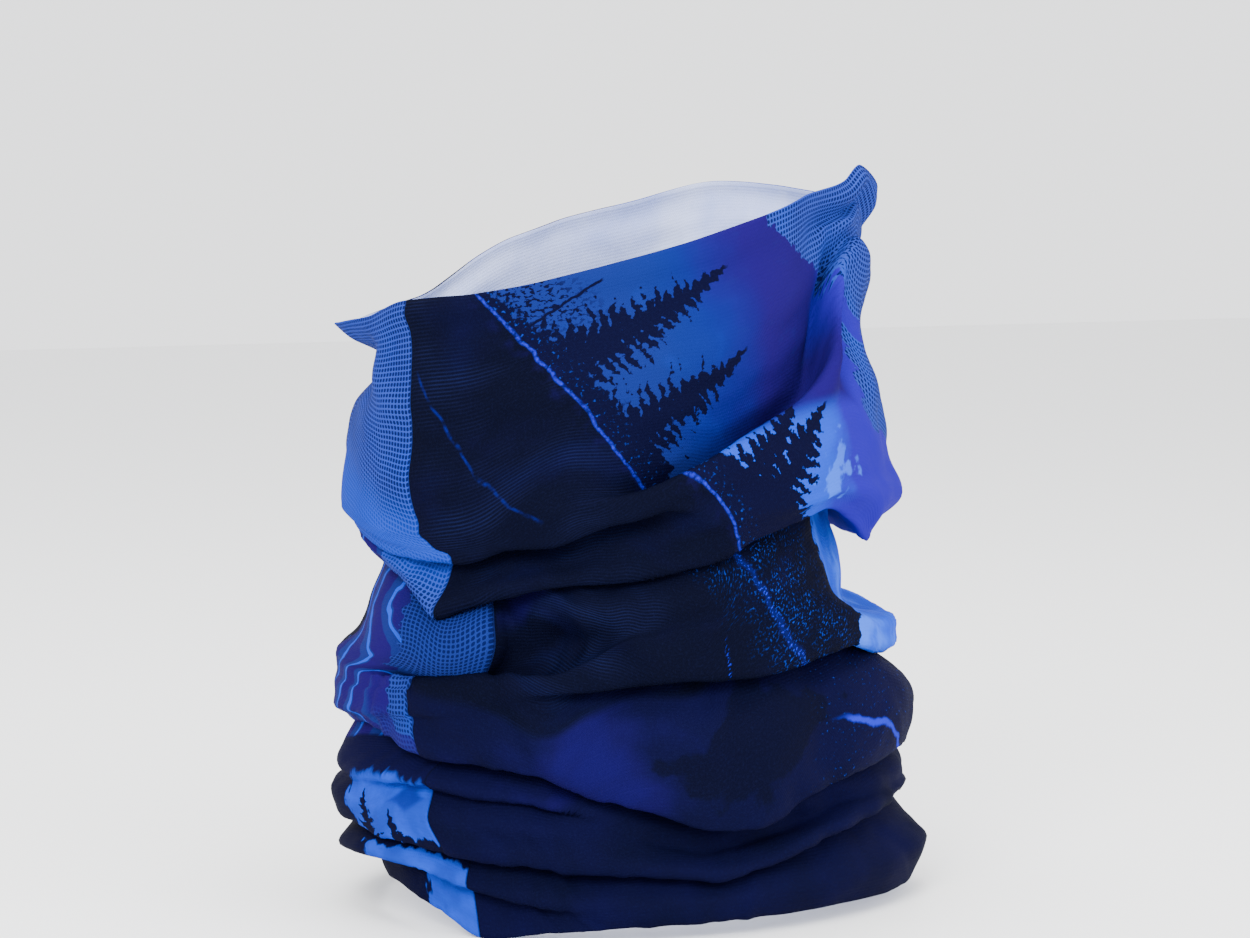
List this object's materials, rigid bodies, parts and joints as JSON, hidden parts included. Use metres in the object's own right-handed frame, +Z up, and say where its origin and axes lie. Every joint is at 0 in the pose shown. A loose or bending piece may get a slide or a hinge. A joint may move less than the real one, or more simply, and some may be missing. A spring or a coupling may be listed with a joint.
{
  "type": "neck gaiter",
  "caption": "Tube of thin printed knit cloth, worn scrunched around the neck, with one overlocked seam and raw-cut rims.",
  "frame": {"origin": "centre of the bottom rim, on the surface that it stands on", "axes": "+Z up along the neck, -Y towards the chin, +X towards the wearer's left"},
  "size_m": [0.15, 0.18, 0.2216],
  "materials": {
    "printed_microfibre_knit": "matte",
    "sewing_thread": "satin"
  },
  "bodies": {
    "root": {"printed_panel": "printed_microfibre_knit", "needle_thread_left": "sewing_thread", "needle_thread_right": "sewing_thread", "upper_looper_thread": "sewing_thread", "lower_looper_thread": "sewing_thread"}
  },
  "joints": []
}
